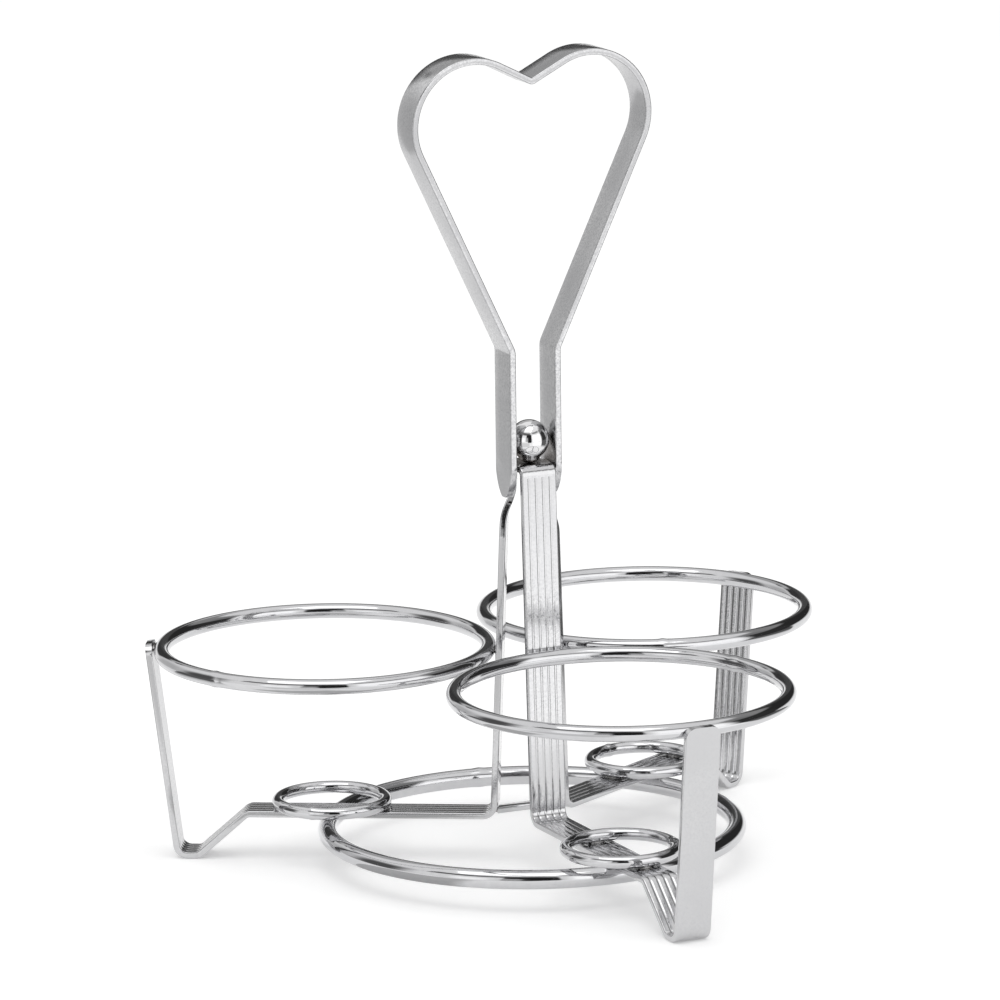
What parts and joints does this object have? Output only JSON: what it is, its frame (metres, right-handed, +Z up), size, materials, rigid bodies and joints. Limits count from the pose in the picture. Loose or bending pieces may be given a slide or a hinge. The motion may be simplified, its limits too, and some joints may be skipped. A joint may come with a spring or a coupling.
{
  "type": "condiment caddy",
  "caption": "Chromed wire and reeded strip rack that holds round condiment jars in rings round a heart-shaped carrying handle.",
  "frame": {"origin": "bottom centre of the bounding box, on the table under the rack", "axes": "+Z up; the handle's heart lies across X; -Y is the front strip's side"},
  "size_m": [0.1804, 0.1702, 0.2114],
  "materials": {
    "strip_chrome": "bright chrome plate on rolled reeded strip",
    "wire_chrome": "bright chrome plate on round wire",
    "handle_chrome": "chrome plate on plain strip, faintly brushed",
    "ball_chrome": "mirror chrome ball"
  },
  "bodies": {
    "root": {"base_ring": "wire_chrome", "handle": "handle_chrome", "jar_ring_front": "wire_chrome", "jar_ring_left_rear": "wire_chrome", "jar_ring_right_rear": "wire_chrome", "knob_ball": "ball_chrome", "leg_strip_front": "strip_chrome", "leg_strip_left_rear": "strip_chrome", "leg_strip_right_rear": "strip_chrome", "rear_tie": "strip_chrome", "seat_ring_front": "wire_chrome", "seat_ring_left_rear": "wire_chrome", "seat_ring_right_rear": "wire_chrome"}
  },
  "joints": []
}
